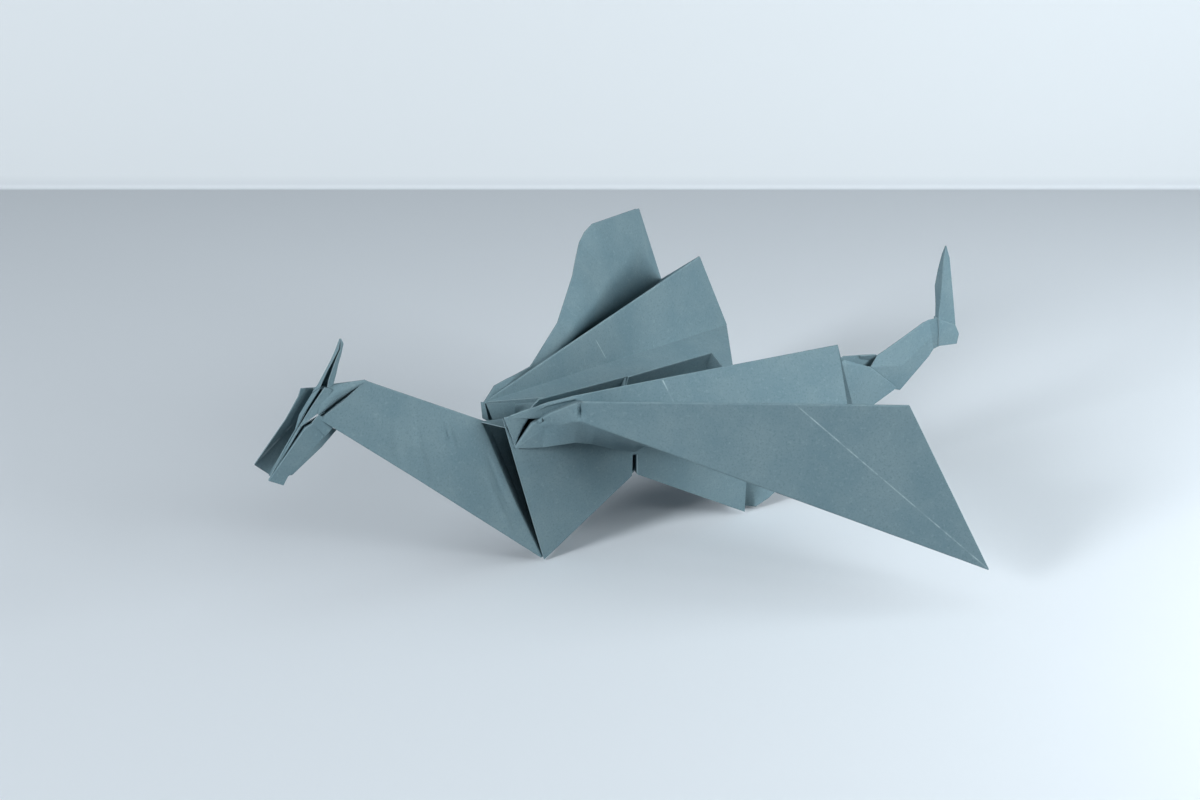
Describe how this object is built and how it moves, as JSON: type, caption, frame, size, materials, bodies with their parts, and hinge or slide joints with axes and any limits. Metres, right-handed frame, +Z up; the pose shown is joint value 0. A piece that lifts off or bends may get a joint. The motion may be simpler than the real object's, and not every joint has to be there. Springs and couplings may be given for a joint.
{
  "type": "origami dragon",
  "caption": "Blue-grey origami dragon folded from one square of paper, with pleated wings, a horned head and a kinked tail.",
  "frame": {"origin": "on the table, under the middle of the dragon's bounding box", "axes": "+X out along the lowered wing, +Y from head to tail, +Z up"},
  "size_m": [0.1446, 0.1872, 0.0648],
  "materials": {
    "paper": "matte"
  },
  "bodies": {
    "root": {"folded_sheet": "paper"}
  },
  "joints": []
}
